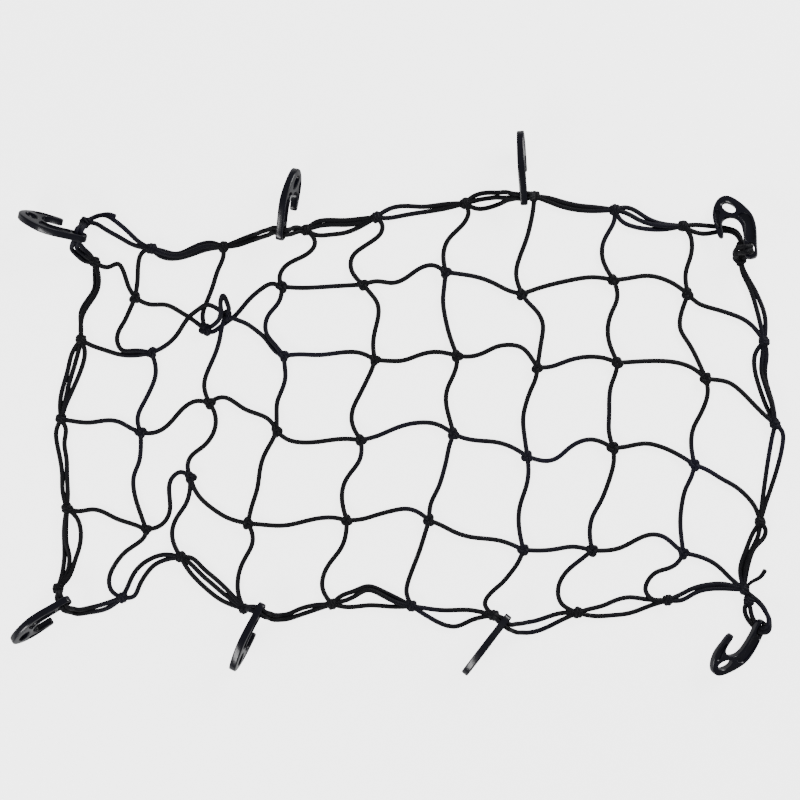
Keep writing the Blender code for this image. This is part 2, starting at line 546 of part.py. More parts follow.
def prism(outline, low, high):
    """A flat plate with the given outline."""
    bottom = [(x, y, low) for x, y in outline]
    top = [(x, y, high) for x, y in outline]
    count = len(outline)
    faces = [tuple(reversed(range(count))), tuple(range(count, 2 * count))]
    for side in range(count):
        after = (side + 1) % count
        faces.append((side, after, count + after, count + side))
    return np.array(bottom + top), faces


def oval(centre_x, centre_y, long_half, short_half, turn):
    """Eight sided oval outline."""
    angles = math.tau * (np.arange(HOLE_SIDES) + 0.5) / HOLE_SIDES
    bend = math.radians(turn)
    u = long_half * np.cos(angles)
    v = short_half * np.sin(angles)
    x = centre_x + u * math.cos(bend) - v * math.sin(bend)
    y = centre_y + u * math.sin(bend) + v * math.cos(bend)
    return list(zip(x, y))


def hook_pose(name, mesh):
    """Where a hook lies: turned, its lowest point on the surface, its eye at its place in the table."""
    across, down, heading, pitch, roll = HOOKS[name]
    turned = (Matrix.Rotation(math.radians(heading), 4, "Z")
              @ Matrix.Rotation(math.radians(-pitch), 4, "Y")
              @ Matrix.Rotation(math.radians(roll), 4, "X"))
    lowest = min((turned @ vertex.co).z for vertex in mesh.vertices)
    eye = turned @ (Vector((*HOOK_EYE, 0.0)) * MM)
    x, y = plan(across, down)
    return Matrix.Translation((x * MM - eye.x, y * MM - eye.y, -lowest)) @ turned


def through_eye(pose, place, start):
    """Two table points of a strand that passes straight through a hook's eye, the nearer one first."""
    points = []
    for reach in (-EYE_REACH, EYE_REACH):
        spot = pose @ (Vector((HOOK_EYE[0] + place * EYE_SPREAD, HOOK_EYE[1], reach)) * MM) / MM
        points.append((spot.x + BOARD_CENTRE[0], BOARD_CENTRE[1] - spot.y, spot.z - CORD_RISE))
    points.sort(key=lambda point: math.dist(point[:2], start[:2]))
    return points


def hook_mesh():
    """A hook in its own plane: an I section plate with an eye and a hole in its crown."""
    face = 0.5 * HOOK_THICK
    floor = face - HOOK_RECESS
    cutters = [prism(oval(*hole), -face - 1.0, face + 1.0) for hole in (EYE_HOLE, CROWN_HOLE)]
    for outline in (SHANK_RECESS, ARM_RECESS):
        cutters.append(prism(outline, floor, face + 1.0))
        cutters.append(prism(outline, -face - 1.0, -floor))
    return combine("hook", prism(HOOK_OUTLINE, -face, face), cutters, "DIFFERENCE")


def make_hook(name, mesh, pose, material):
    """A hook at its pose."""
    hook = finish(name, mesh, material, 40.0)
    hook.matrix_world = pose
    return hook


def main():
    """Build the net with its parent at the middle of its underside."""
    clear_scene()
    cord = cord_material()
    plastic = hook_material()
    shape = hook_mesh()
    poses = {name: hook_pose(name, shape) for name in HOOKS}
    pieces = [make_edge(side, poses, cord) for side in EDGE_RUNS]
    pieces.append(make_mesh(pieces, cord))
    pieces += [make_hook(name, shape.copy(), pose, plastic) for name, pose in poses.items()]
    net = bpy.data.objects.new("cargo_net", None)
    bpy.context.scene.collection.objects.link(net)
    for piece in pieces:
        piece.parent = net


main()
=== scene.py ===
"""Cargo net seen from above: cords follow listed points on an 800 mm laying board."""

import json
import math

import bpy
import numpy as np
from mathutils import Matrix, Vector

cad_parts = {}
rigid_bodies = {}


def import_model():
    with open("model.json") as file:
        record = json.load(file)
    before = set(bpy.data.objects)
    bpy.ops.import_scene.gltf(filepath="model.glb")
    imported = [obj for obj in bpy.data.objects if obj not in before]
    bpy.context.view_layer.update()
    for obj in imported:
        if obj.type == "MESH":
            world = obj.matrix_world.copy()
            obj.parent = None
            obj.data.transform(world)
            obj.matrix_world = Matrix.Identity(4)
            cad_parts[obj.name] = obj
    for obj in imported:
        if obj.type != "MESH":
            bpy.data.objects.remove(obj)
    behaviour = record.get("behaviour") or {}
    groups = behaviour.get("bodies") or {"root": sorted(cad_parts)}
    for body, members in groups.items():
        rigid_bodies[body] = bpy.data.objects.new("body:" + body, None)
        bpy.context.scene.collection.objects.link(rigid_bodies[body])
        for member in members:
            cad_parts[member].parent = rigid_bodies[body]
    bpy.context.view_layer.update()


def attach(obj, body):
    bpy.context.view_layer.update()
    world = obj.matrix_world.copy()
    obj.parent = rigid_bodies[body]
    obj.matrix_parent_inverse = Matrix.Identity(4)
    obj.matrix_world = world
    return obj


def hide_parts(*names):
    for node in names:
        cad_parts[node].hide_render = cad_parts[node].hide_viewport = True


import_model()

# ---- Mesh cord ---------------------------------------------------------------------------------
# Four rows and eight columns of thin elastic cord: a rubber core in a black braided polyester
# sleeve, 4.3 mm thick. Every row is tied to every column where they cross.
MM = 0.001
CORD = 4.3
SLEEVE_WIDTH = 4.9  # wider than the cord, because the bright surface eats into its edges
SLEEVE_SIDES = 12
STRAND_STEP = 1.5
END_ROUNDING = 0.6  # length of a strand's rounded end, as a share of its radius
BOARD_CENTRE = (399.6, 404.3)
KNOT_CORE = 2.0  # a strand runs this much higher where it enters a knot

# Places on the laying board: millimetres across and down, and a third number where the underside
# of the cord is lifted off the surface.
MESH_KNOTS = (
    ((136, 298), (206, 330), (282, 287), (363, 285), (445.5, 272.5), (521.5, 294.5), (613, 280.5),
     (687, 294.5)),
    ((152, 353), (226, 315.5), (284, 356), (375, 360), (457, 356), (537, 367.5), (617, 363),
     (705, 379)),
    ((141.5, 432.5), (210, 403), (277, 431), (361, 440), (453.5, 434), (527, 456.5), (612.5, 448),
     (693.5, 464.5)),
    ((147, 529), (191, 477), (248.5, 523), (347, 520), (429, 520), (523, 549.5), (591.5, 550),
     (682.5, 552.5)),
)
EDGE_KNOTS = {
    "t0_wrap": (86.5, 223, 2),
    "t1": (152, 249, 0), "t2": (224, 247.5, 0), "t3": (306, 230.5, 0), "t4": (376, 218, 0),
    "t5": (465, 204, 0), "t6": (534, 197, 0), "t7": (614, 210.5, 0), "t8": (682, 226.5, 0),
    "t9": (740.3, 246, 3),
    "r0": (739, 260.3, 1), "r1": (763, 341.5, 0), "r2": (774, 424, 0), "r3": (759, 521.5, 0),
    "r4": (743, 589, 0), "r4_wrap": (748, 599.5, 0),
    "b0_wrap": (59.7, 587.3, 2),
    "b1": (123, 597, 0), "b2": (181.5, 556.5, 0), "b3": (244.5, 608, 0), "b4": (332, 603.5, 0),
    "b5": (412, 605.5, 0), "b6": (493, 614.5, 0), "b7": (577, 612, 0), "b8": (667, 599.5, 0),
    "l1": (96, 263, 0), "l2": (82, 340, 0), "l3": (62, 419, 0), "l4": (68, 508, 0),
}
# The knots that each row ends at, and its bends from knot to knot, left to right.
ROW_ENDS = (("l1", "r1"), ("l2", "r2"), ("l3", "r3"), ("l4", "r4"))
ROW_BENDS = (
    (((110, 267), (118, 264), (124, 272), (130, 289)),
     ((150, 304.5), (166, 305), (179, 311), (191, 318.5)),
     ((211, 332), (221, 326.5), (234, 317), (249, 300), (261, 289.5), (272, 284)),
     ((300, 288), (325, 287), (350, 285.5)),
     ((377, 281.5), (393, 283), (406, 278), (419, 269), (433, 265.5)),
     ((462, 274.5), (478, 277.5), (495, 284), (508, 290.5)),
     ((535, 289.5), (552, 284.5), (572, 280), (595, 277.5)),
     ((628, 278.5), (648, 276), (665, 280), (678, 287)),
     ((698, 303.5), (712, 308.5), (730, 314), (747, 322), (757, 332))),
    (((91, 345), (105, 350), (120, 354.5), (137, 355.3)),
     ((163, 347.5), (175, 337.5), (189.5, 318, 5.2), (198, 310), (209, 305.3, 5.2),
      (217, 308.5, 1)),
     ((236, 319.5, 5), (247, 324), (257, 331), (264, 337), (271, 346), (277, 352.5)),
     ((298, 354.5), (318, 355), (342, 352.5), (362, 353.5)),
     ((390, 361), (403, 360.5), (418, 355.5), (435, 352)),
     ((470, 356.5), (482, 353.5), (496, 347), (510, 345), (522, 348), (530.5, 357)),
     ((549, 367), (567, 361), (590, 356.8), (605, 358.5)),
     ((631, 362), (655, 361), (680, 363.5), (695, 370)),
     ((717, 380), (728, 382.5), (739, 390), (752, 403), (763, 414))),
    (((76, 421.5), (90, 422.5), (110, 420.3), (121, 422.5), (131, 428)),
     ((152, 433), (163, 429), (173, 420), (185, 407), (197, 401)),
     ((217, 398.5), (225, 397.5), (233, 401), (245, 409), (258, 414), (269, 419.5)),
     ((287, 439), (301, 442.3), (320, 441.5), (345, 438.8)),
     ((376, 436.3), (390, 430.5), (405, 425), (422, 422.5), (436, 424)),
     ((464, 438), (478, 440.5), (495, 442), (508, 445.5), (518, 450.5)),
     ((535, 459), (546, 460.8), (556, 458.3), (567, 449.5), (578, 442.3), (591, 439.5)),
     ((626, 446.5), (645, 443.5), (660, 446.5), (674, 452.5)),
     ((706, 469.5), (721, 478.5), (735, 486.5), (747, 497), (755, 508))),
    (((78, 511), (93, 509.3), (103, 511.5), (116, 518), (132, 523.5)),
     ((156, 527.5), (165, 521.5), (170, 511), (169.5, 492), (172, 478.5), (181, 472)),
     ((194, 487), (201, 498), (213, 508.5), (230, 518.5)),
     ((263, 524.5), (287, 525), (304, 521.3), (334, 517.5)),
     ((360, 519.3), (376, 515), (395, 510), (407, 508.7), (418, 512)),
     ((440, 524.5), (455, 532), (472, 537), (500, 540.5), (512, 544.5)),
     ((536, 550.3), (555, 549), (572, 546.5)),
     ((605, 550.3), (620, 547.5), (636, 539.5), (652, 534.3), (664, 537), (674, 545)),
     ((694, 555), (706, 559), (717, 565.5), (729, 577))),
)
# The bends of each column, from the top edge to the bottom edge.
COLUMN_BENDS = (
    (((142.5, 253), (139, 262), (138, 279)),
     ((131, 308), (125, 321), (118.5, 333), (118, 343), (123, 350.2, 1.5), (135, 350.8, 2.5)),
     ((155, 362), (156, 374), (152, 387), (144, 403), (138, 419)),
     ((141.2, 447), (139, 463), (134.5, 475), (134, 488), (139, 508)),
     ((145, 536), (138, 543), (126, 551.5), (115, 565), (109.5, 580), (112.5, 591))),
    (((223.5, 257), (218.3, 270), (213.5, 285), (206.8, 302.5), (203, 315)),
     ((212, 326.5, 1), (218, 322, 4), (223, 314, 15), (224, 303, 24), (226.5, 297.5, 27),
      (229.5, 303, 22), (230, 311, 10)),
     ((222.5, 327, 2), (219.5, 341), (215, 355), (208, 371), (204.5, 386)),
     ((214.5, 412), (216, 423), (212, 436), (202, 447.5), (190.5, 457.5), (188, 467)),
     ((190, 491), (186, 504), (178, 516), (173, 528), (174, 543))),
    (((313, 237), (315, 244), (310, 252), (297, 259.5), (284, 268), (279.8, 278)),
     ((281, 297), (277, 305), (269.5, 314), (265.7, 324), (267.5, 335, 1), (274, 343.5, 2.2)),
     ((285, 367), (285.5, 377), (282, 390), (277.5, 402), (276.8, 414)),
     ((271.5, 442), (264, 456), (260, 471), (257.5, 488), (251.5, 508)),
     ((252.3, 533), (252.5, 543), (247.5, 554), (241, 567), (238, 581), (239.5, 597))),
    (((382, 224.5), (381.5, 232), (374, 240), (362, 248), (352.5, 257), (351, 268)),
     ((371, 294), (377.5, 304), (378.3, 316), (374.5, 333), (373.3, 348)),
     ((372, 369), (366, 382), (359, 396), (353, 409), (352, 422)),
     ((361.5, 451), (359.5, 460), (352, 471), (344.5, 483), (342, 497)),
     ((346, 533), (341, 548), (332, 560), (324, 574), (322.7, 588))),
    (((468.3, 212), (466, 220), (457, 230.5), (447.5, 241), (443.5, 253)),
     ((444.2, 286), (443, 301), (445, 317), (450, 337)),
     ((456.5, 365), (452, 378), (447, 390), (446, 403), (449, 417)),
     ((449.5, 445), (446.5, 459), (443, 473), (438, 488), (431, 503)),
     ((425, 533), (420, 549), (414, 565), (408.5, 580), (406.5, 592))),
    (((533, 209), (530.5, 223), (526, 240), (520, 256), (516, 274)),
     ((527.5, 302), (537, 312), (542.5, 324), (541.5, 339)),
     ((535.5, 378), (531, 389), (526, 403), (523, 418), (524, 434)),
     ((528.2, 472), (525.5, 488), (520.5, 503), (518.4, 520)),
     ((518.5, 561), (511, 572), (501, 583.5), (489.5, 594), (484.8, 603))),
    (((614, 220), (609, 231), (603, 243), (602, 257)),
     ((616.5, 290), (616.5, 300), (612, 311), (608, 324), (608, 338)),
     ((615.5, 372), (611, 385), (609, 399), (608.8, 415), (608.5, 430)),
     ((613.5, 460), (611, 473), (606, 488), (600, 502), (592.5, 516), (589.5, 530)),
     ((583.5, 557), (572, 566), (561.5, 578), (557.8, 590), (560.5, 602))),
    (((689, 234), (691.5, 244), (690, 257), (685.5, 272)),
     ((683.5, 305), (680, 317), (680, 329), (687.3, 342), (696.6, 359)),
     ((707.3, 390), (705.5, 401), (699, 416), (693, 428), (690.8, 444)),
     ((691.5, 475), (685.5, 488), (682, 501), (680, 518)),
     ((677.5, 562), (668, 568), (656, 572), (647.3, 581), (645.2, 590), (650, 597.5, 2))),
)


def board(across, down):
    """x = across - centre, y = centre - down: from the laying board to the plan, in millimetres."""
    return across - BOARD_CENTRE[0], BOARD_CENTRE[1] - down


def cord_line(points, step=0.9):
    """Centre line through table points: natural cubic spline in plan, z = under + CORD / 2 with
    under eased from point to point as (1 - cos(pi t)) / 2."""
    flat = np.array([board(*point[:2]) for point in points])
    rise = np.array([point[2] if len(point) > 2 else 0.0 for point in points])
    gaps = np.hypot(*np.diff(flat, axis=0).T)
    marks = np.concatenate(([0.0], np.cumsum(gaps)))
    count = len(marks)
    system = np.eye(count)
    right = np.zeros((count, 2))
    slopes = np.diff(flat, axis=0) / gaps[:, None]
    inner = np.arange(1, count - 1)
    system[inner, inner - 1] = gaps[:-1]
    system[inner, inner] = 2.0 * (gaps[:-1] + gaps[1:])
    system[inner, inner + 1] = gaps[1:]
    right[inner] = 6.0 * (slopes[1:] - slopes[:-1])
    bend = np.linalg.solve(system, right)
    along = np.linspace(0.0, marks[-1], max(6, int(marks[-1] / step)))
    cell = np.clip(np.searchsorted(marks, along, side="right") - 1, 0, count - 2)
    gap = gaps[cell]
    after = (along - marks[cell]) / gap
    ease = 0.5 - 0.5 * np.cos(np.pi * after)
    height = rise[cell] + (rise[cell + 1] - rise[cell]) * ease
    after, before, gap = after[:, None], 1.0 - after[:, None], gap[:, None]
    curve = before * flat[cell] + after * flat[cell + 1]
    lean = (before ** 3 - before) * bend[cell] + (after ** 3 - after) * bend[cell + 1]
    curve += lean * gap ** 2 / 6
    return np.column_stack((curve, height + 0.5 * CORD))


def even_line(line, step):
    """The same line with points an equal distance apart."""
    marks = np.concatenate(([0.0], np.cumsum(np.linalg.norm(np.diff(line, axis=0), axis=1))))
    places = np.linspace(0.0, marks[-1], max(4, int(round(marks[-1] / step)) + 1))
    return np.column_stack([np.interp(places, marks, line[:, axis]) for axis in range(3)])


def tube_grid(line, radius, sides, ring=False):
    """Points c + r (cos a * s + sin a * u) with s = t x z and u = s x t, faces, and UVs of
    (millimetres along, turns around). An open tube has rounded ends that close on a pole."""
    if ring:
        ahead = np.roll(line, -1, axis=0) - np.roll(line, 1, axis=0)
    else:
        ahead = np.gradient(line, axis=0)
    ahead /= np.linalg.norm(ahead, axis=1)[:, None]
    across = np.cross(ahead, (0.0, 0.0, 1.0))
    across /= np.linalg.norm(across, axis=1)[:, None] + 1e-9
    upward = np.cross(across, ahead)
    lengths = np.concatenate(([0.0], np.cumsum(np.linalg.norm(np.diff(line, axis=0), axis=1))))
    girth = np.full(len(line), float(radius))
    if not ring:
        near = np.minimum(lengths, lengths[-1] - lengths) / (END_ROUNDING * girth)
        girth = girth * np.sqrt(np.clip(1.0 - (1.0 - np.clip(near, 0.02, 1.0)) ** 2, 0.0, 1.0))
    turn = math.tau * np.arange(sides) / sides
    cosine, sine = np.cos(turn)[None, :, None], np.sin(turn)[None, :, None]
    outward = cosine * across[:, None] + sine * upward[:, None]
    grid = line[:, None] + girth[:, None, None] * outward
    count = len(line)
    ring_from = np.arange(count if ring else count - 1)
    ring_to = (ring_from + 1) % count
    side = np.arange(sides)
    side_to = (side + 1) % sides
    corner = (ring_from[:, None] * sides + side, ring_from[:, None] * sides + side_to,
              ring_to[:, None] * sides + side_to, ring_to[:, None] * sides + side)
    quads = np.stack(corner, axis=-1).reshape(-1, 4)
    u_from = np.repeat(lengths[ring_from][:, None], sides, axis=1)
    u_to = u_from + np.linalg.norm(line[ring_to] - line[ring_from], axis=1)[:, None]
    v_from = np.broadcast_to(side / sides, u_from.shape)
    v_to = v_from + 1.0 / sides
    uvs = np.stack((u_from, v_from, u_from, v_to, u_to, v_to, u_to, v_from), axis=-1).reshape(-1, 2)
    return grid.reshape(-1, 3), quads, uvs


def add_mesh(name, parts, material, sides):
    """One smooth object of several tubes, the two ends of each open one closed with a face."""
    points, faces, uvs, total = [], [], [], 0
    for (grid, quads, uv), ring in parts:
        points.append(grid)
        faces += (quads + total).tolist()
        uvs.append(uv)
        if not ring:
            first_end = total + np.arange(sides)[::-1]
            last_end = total + len(grid) - sides + np.arange(sides)
            faces += [first_end.tolist(), last_end.tolist()]
            uvs.append(np.repeat(uv[:1], 2 * sides, axis=0))
        total += len(grid)
    mesh = bpy.data.meshes.new(name)
    mesh.from_pydata((np.vstack(points) * MM).tolist(), [], faces)
    layer = mesh.uv_layers.new(name="along")
    layer.data.foreach_set("uv", np.vstack(uvs).astype(np.float32).ravel())
    mesh.shade_smooth()
    mesh.materials.append(material)
    mesh.flip_normals()
    piece = bpy.data.objects.new(name, mesh)
    bpy.context.scene.collection.objects.link(piece)
    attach(piece, "root")
    return piece


BRAID_PITCH = 2.6
BRAID_YARNS = 6.0
THREAD_RATE = 21.0  # fine threads within a yarn, in radians a millimetre
THREAD_SHIFT = 0.3
THREAD_HEIGHT = 0.05


def braid_group():
    """Node group: two sets of helical yarns, h = max(|sin pi(a + b)|, |sin pi(a - b)|), with
    a = millimetres / pitch and b = yarns * turn. Gives a height, a light and dark mask, and a
    slow cloud for the tint."""
    group = bpy.data.node_groups.new("braid", "ShaderNodeTree")
    for name in ("Height", "Yarn", "Tint"):
        group.interface.new_socket(name, in_out="OUTPUT", socket_type="NodeSocketFloat")
    nodes, links = group.nodes, group.links

    def calc(kind, first, second=None):
        node = nodes.new("ShaderNodeMath")
        node.operation = kind
        for place, value in enumerate((first, second)):
            if value is None:
                continue
            if isinstance(value, (int, float)):
                node.inputs[place].default_value = value
            else:
                links.new(value, node.inputs[place])
        return node.outputs[0]

    place = nodes.new("ShaderNodeUVMap")
    place.uv_map = "along"
    split = nodes.new("ShaderNodeSeparateXYZ")
    links.new(place.outputs["UV"], split.inputs[0])
    along = calc("DIVIDE", split.outputs[0], BRAID_PITCH)
    around = calc("MULTIPLY", split.outputs[1], BRAID_YARNS)
    waves = [calc("ABSOLUTE", calc("SINE", calc("MULTIPLY", calc(kind, along, around), math.pi)))
             for kind in ("ADD", "SUBTRACT")]
    height = calc("MAXIMUM", waves[0], waves[1])
    shifted = calc("ADD", split.outputs[0], calc("MULTIPLY", waves[0], THREAD_SHIFT))
    thread = calc("SINE", calc("MULTIPLY", shifted, THREAD_RATE))
    spot = nodes.new("ShaderNodeTexCoord")
    noise = nodes.new("ShaderNodeTexNoise")
    noise.inputs["Scale"].default_value = 9.0
    noise.inputs["Detail"].default_value = 2.0
    links.new(spot.outputs["Object"], noise.inputs["Vector"])
    output = nodes.new("NodeGroupOutput")
    raised = calc("ADD", height, calc("MULTIPLY", thread, THREAD_HEIGHT))
    links.new(raised, output.inputs["Height"])
    links.new(calc("MULTIPLY", waves[0], waves[1]), output.inputs["Yarn"])
    links.new(noise.outputs["Fac"], output.inputs["Tint"])
    return group


def cord_finish(name, dark, light, tint, roughness):
    """Braided black sleeve: light and dark yarns, a slow blue tint, and the braid as a bump."""
    material = bpy.data.materials.new(name)
    material.use_nodes = True
    nodes, links = material.node_tree.nodes, material.node_tree.links
    shader = nodes["Principled BSDF"]
    shader.inputs["Sheen Weight"].default_value = 0.05
    shader.inputs["Sheen Roughness"].default_value = 0.45
    shader.inputs["Specular IOR Level"].default_value = 0.2
    braid = nodes.new("ShaderNodeGroup")
    braid.node_tree = bpy.data.node_groups.get("braid") or braid_group()
    shade = nodes.new("ShaderNodeMix")
    shade.data_type = "RGBA"
    shade.inputs["A"].default_value = (*dark, 1.0)
    shade.inputs["B"].default_value = (*light, 1.0)
    links.new(braid.outputs["Yarn"], shade.inputs["Factor"])
    cast = nodes.new("ShaderNodeMapRange")
    cast.inputs["From Min"].default_value = 0.5
    cast.inputs["From Max"].default_value = 0.75
    links.new(braid.outputs["Tint"], cast.inputs["Value"])
    blue = nodes.new("ShaderNodeMix")
    blue.data_type = "RGBA"
    blue.inputs["B"].default_value = (*tint, 1.0)
    links.new(cast.outputs["Result"], blue.inputs["Factor"])
    links.new(shade.outputs["Result"], blue.inputs["A"])
    links.new(blue.outputs["Result"], shader.inputs["Base Color"])
    rough = nodes.new("ShaderNodeMapRange")
    rough.inputs["To Min"].default_value = roughness + 0.1
    rough.inputs["To Max"].default_value = roughness - 0.1
    links.new(braid.outputs["Yarn"], rough.inputs["Value"])
    links.new(rough.outputs["Result"], shader.inputs["Roughness"])
    bump = nodes.new("ShaderNodeBump")
    bump.inputs["Strength"].default_value = 0.7
    bump.inputs["Distance"].default_value = 0.00035
    links.new(braid.outputs["Height"], bump.inputs["Height"])
    links.new(bump.outputs["Normal"], shader.inputs["Normal"])
    return material


def knot_end(name):
    """The table point of a strand's end inside a knot of the edge cord."""
    return (*EDGE_KNOTS[name][:2], EDGE_KNOTS[name][2] + KNOT_CORE)


SLEEVE = cord_finish("cord_sleeve", dark=(0.003, 0.003, 0.004), light=(0.010, 0.010, 0.014),
                     tint=(0.010, 0.009, 0.026), roughness=0.55)
MESH_LINES = []
for knots, ends, bends in zip(MESH_KNOTS, ROW_ENDS, ROW_BENDS):
    stops = [knot_end(ends[0]), *[(*knot, KNOT_CORE) for knot in knots], knot_end(ends[1])]
    MESH_LINES.append((stops, bends))
for column, bends in enumerate(COLUMN_BENDS):
    knots = [(*row[column], KNOT_CORE) for row in MESH_KNOTS]
    stops = [knot_end("t%d" % (column + 1)), *knots, knot_end("b%d" % (column + 1))]
    MESH_LINES.append((stops, bends))
strands = []
for stops, bends in MESH_LINES:
    for place, via in enumerate(bends):
        line = even_line(cord_line((stops[place], *via, stops[place + 1])), STRAND_STEP)
        strands.append((tube_grid(line, 0.5 * SLEEVE_WIDTH, SLEEVE_SIDES), False))
mesh_cord = add_mesh("mesh_cord", strands, SLEEVE, SLEEVE_SIDES)
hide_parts("mesh")

# ---- Mesh knots --------------------------------------------------------------------------------
# The row's cord is tied round the column's cord in a small tight overhand knot. Each knot is a
# trefoil of the same cord, pulled nearly solid, and no two lie quite the same way.
TREFOIL = 1.42
TREFOIL_DEPTH = 1.75
TREFOIL_POINTS = 46
GOLDEN_PART = 0.6180339887
SEED_PART = 0.3819


def trefoil(centre, turn, size, stretch, lift=0.0):
    """(sin t + 2 sin 2t, cos t - 2 cos 2t, -sin 3t), stretched and turned about the vertical."""
    t = np.linspace(0.0, math.tau, TREFOIL_POINTS, endpoint=False)
    x = size * TREFOIL * stretch * (np.sin(t) + 2.0 * np.sin(2.0 * t))
    y = size * TREFOIL / stretch * (np.cos(t) - 2.0 * np.cos(2.0 * t))
    z = -TREFOIL_DEPTH * np.sin(3.0 * t)
    c, s = math.cos(turn), math.sin(turn)
    middle = lift + 0.5 * CORD + TREFOIL_DEPTH
    return np.column_stack((centre[0] + c * x - s * y, centre[1] + s * x + c * y, middle + z))


def mixed(number, seed):
    """A fixed spread of values from 0 to 1: the fraction of a product with an irrational number."""
    return (number * GOLDEN_PART + seed * SEED_PART) % 1.0


ties = []
for row, knots in enumerate(MESH_KNOTS):
    for column, knot in enumerate(knots):
        number = len(knots) * row + column
        size = 0.94 + 0.16 * mixed(number, 1)
        stretch = 0.9 + 0.24 * mixed(number, 2)
        loop = trefoil(board(*knot), math.tau * mixed(number, 3), size, stretch)
        ties.append((tube_grid(loop, 0.5 * SLEEVE_WIDTH, SLEEVE_SIDES, ring=True), True))
mesh_knots = add_mesh("mesh_knots", ties, SLEEVE, SLEEVE_SIDES)

# ---- Edge cord ---------------------------------------------------------------------------------
# The border is the same cord taken round in two or three strands that lie loosely side by side
# between the knots. It passes through the eye of every hook. One piece a side.
HALF_PLATE = 3.6
HOOK_EYE = (8.2, 0.0)
EYE_REACH = 5.6  # how far a strand goes straight on before and after the middle of an eye
EYE_SPREAD = 2.35  # a strand's place 1 in an eye is this far from its middle
BORDER_STEP = 1.3
# The hook's outline in its own plane, from the shank's end round the crown and the tip and back.
HOOK_OUTLINE = (
    (0.5, -4.5), (9.2, -6.2), (28.6, -6.8), (43.2, -4.5), (52.9, 1.4), (61.6, 9.4),
    (67.9, 19.6), (65.8, 27.6), (57.2, 33.0), (46.1, 34.5), (35.4, 32.6), (25.0, 29.2),
    (25.6, 25.8), (38.6, 26.2), (44.1, 22.8), (44.6, 16.1), (39.8, 9.8), (29.6, 6.6),
    (10.7, 6.2), (0.5, 4.5),
)
# Place of each eye on the board, then three angles in degrees: heading, how far the crown is
# raised, and roll about the shank.
HOOKS = {
    "hook_top_left": (83, 239, 168, 15, 245),
    "hook_top_1": (283, 234, 82, 20, 255),
    "hook_top_2": (522, 199, 97, 25, 260),
    "hook_top_right": (744, 253, 90, -15, -20),
    "hook_bottom_right": (757, 627, 243, -5, 155),
    "hook_bottom_2": (502, 619, 229, 20, 280),
    "hook_bottom_1": (261, 608, 242, 20, -80),
    "hook_bottom_left": (68, 600, 210, 15, -70),
}
